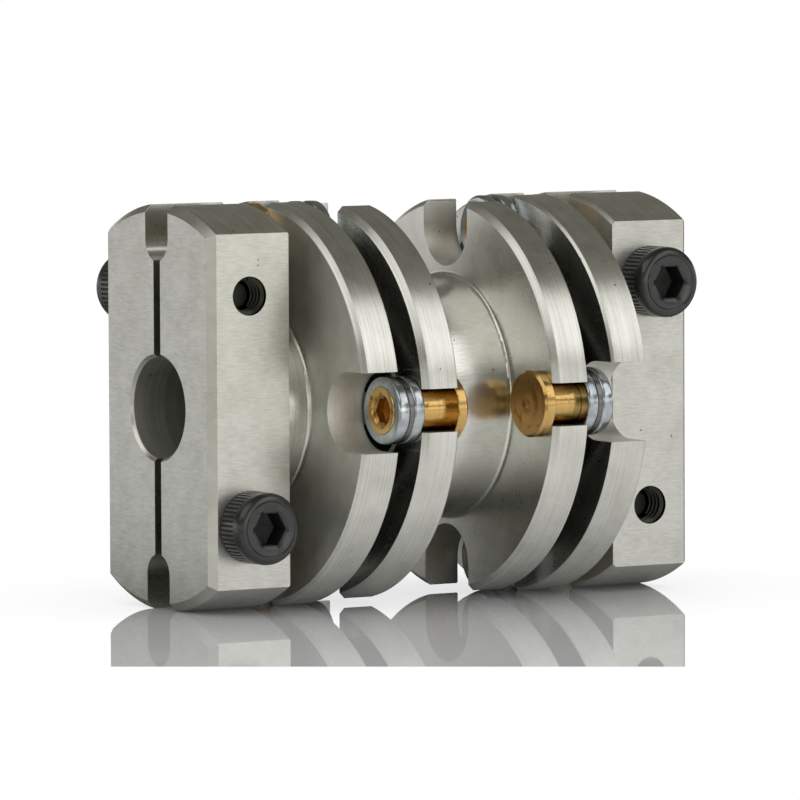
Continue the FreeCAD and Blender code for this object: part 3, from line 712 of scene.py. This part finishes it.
# The floor's level for mirrored rays, by its distance in front of the part and to its left and right, in mm
far = add("MapRange", [y, -100, -25, 0.85, 0.57])
near = add("MapRange", [y, -22, 0, 1.0, 0.05], interpolation_type="SMOOTHSTEP")
leftwards = add("MapRange", [x, -110, -30, 0.55, 1.0])
rightwards = add("MapRange", [x, 40, 140, 1.0, 0.7])
in_front = add("Math", [add("Math", [far, near], operation="MULTIPLY"),
                        add("Math", [leftwards, rightwards], operation="MULTIPLY")], operation="MULTIPLY")
at_left = add("MapRange", [x, -60, -25, 0.47, 0.0])
for_metal = add("Math", [mirrored, add("Math", [in_front, at_left], operation="MAXIMUM")], operation="MULTIPLY")
shadow = add("AmbientOcclusion", {"Distance": mm(40)}, "AO", samples=8)
for_camera = add("LightPath", out="Is Camera Ray")
glow = add("Math", [for_camera, shadow, for_metal], operation="MULTIPLY_ADD")
light_table = add("Emission", {"Color": linear("#FFFFFF"), "Strength": glow})
under = add("AddShader", [add("BsdfDiffuse", {"Color": linear("#A0A0A0")}), light_table])
polish = add("BsdfGlossy", {"Color": linear("#FFFFFF"), "Roughness": 0.025})
mirror_share = add("Math", [add("Fresnel", {"IOR": 1.49}), 0.6], operation="POWER")
mirror_share = add("Math", [mirror_share, for_camera], operation="MULTIPLY")
add("OutputMaterial", [add("MixShader", [mirror_share, under, polish])])
floor_mesh.materials.append(material)
print("floor at", round(1000 * floor_height, 2), "mm")

# %% [markdown]
# ## Room light
# The room is a white sweep around the floor, a dim ceiling above it, and below the horizon the lit table
# that the floor's sheet lies on, dimmer at its left and right ends. The camera sees plain white everywhere.
# Mirrored rays see the sweep only above the horizon, and only the first time they are mirrored, and that
# contrast between the bright sweep and the dim ceiling is what makes the part look like metal.

# %% World
world = bpy.data.worlds.new("studio")
bpy.context.scene.world = world
world.use_nodes = True
world.node_tree.nodes.clear()
add = partial(add_node, world.node_tree)
# The direction's X runs from -1 at the left to 1 at the right, and its Z is 0 at the horizon
across = add("SeparateXYZ", [add("TexCoord", out="Generated")], "X")
height = add("SeparateXYZ", [add("TexCoord", out="Generated")], "Z")
table = add("Math", [add("MapRange", [across, -0.6, 0.3, 0.45, 1.0]),
                     add("MapRange", [across, 0.5, 0.66, 1.0, 0.35])], operation="MULTIPLY")
room = add("MapRange", [height, -0.1, 0.05, table, 0.165], interpolation_type="SMOOTHSTEP")
sweep = add("Math", [add("MapRange", [height, 0.12, 0.2, 1.0, 0.0], interpolation_type="SMOOTHSTEP"),
                     add("Math", [height, -0.005], operation="GREATER_THAN")], operation="MULTIPLY")
glossy, through = add("LightPath", out="Is Glossy Ray"), add("LightPath", out="Is Transmission Ray")
mirrored = add("Math", [glossy, through], operation="MAXIMUM")
sweep_seen = add("Math", [mirrored, sweep], operation="MULTIPLY")
once = add("Math", [add("LightPath", out="Glossy Depth"), 1.5], operation="LESS_THAN")
sweep_seen = add("Math", [sweep_seen, once], operation="MULTIPLY")
seen = add("Math", [add("LightPath", out="Is Camera Ray"), sweep_seen], operation="MAXIMUM")
tint = add("Mix", {"Factor": seen, "A": linear("#FBF7E8"), "B": linear("#FFFFFF")}, "Result", data_type="RGBA")
background = add("Background", {"Color": tint, "Strength": add("Mix", {"Factor": seen, "A": room, "B": 1.0})})
add("OutputWorld", [background])
print("world:", len(world.node_tree.nodes), "nodes")

# %% [markdown]
# ## Softboxes
# Two softboxes stand at the right front. The high one lights the upper fronts of the rims and the waist, and
# the low one the flats and the middle of the rims. A large one at the left lights the flanges' faces that turn
# left, and the waist mirrors it by way of them. The tops of the rims mirror the dim ceiling between them.

# %% Lamps


def softbox(name, azimuth, elevation, distance, width, height, radiance):
    """A rectangle lamp that faces the part, with its place in degrees and metres from the part's middle.

    Azimuth 0 is in front of the part and 90 at its right. The watts come from how bright the lamp's face looks.
    """
    lamp = bpy.data.lights.new(name, "AREA")
    lamp.shape = "RECTANGLE"
    lamp.size, lamp.size_y = width, height
    lamp.energy = radiance * math.pi * width * height
    azimuth, elevation = math.radians(azimuth), math.radians(elevation)
    level = math.cos(elevation)
    toward = Vector((math.sin(azimuth) * level, -math.cos(azimuth) * level, math.sin(elevation)))
    holder = bpy.data.objects.new(name, lamp)
    holder.location = toward * distance
    holder.rotation_euler = (-toward).to_track_quat("-Z", "Y").to_euler()
    bpy.context.scene.collection.objects.link(holder)
    print(name, round(lamp.energy, 2), "W")


softbox("softbox_right_front_high", 34, 35, 0.9, 0.6, 0.5, 1.14)
softbox("softbox_right_front_low", 10, 12, 0.6, 0.48, 0.28, 0.66)
softbox("softbox_left", -74, 46, 0.9, 1.35, 0.66, 0.85)
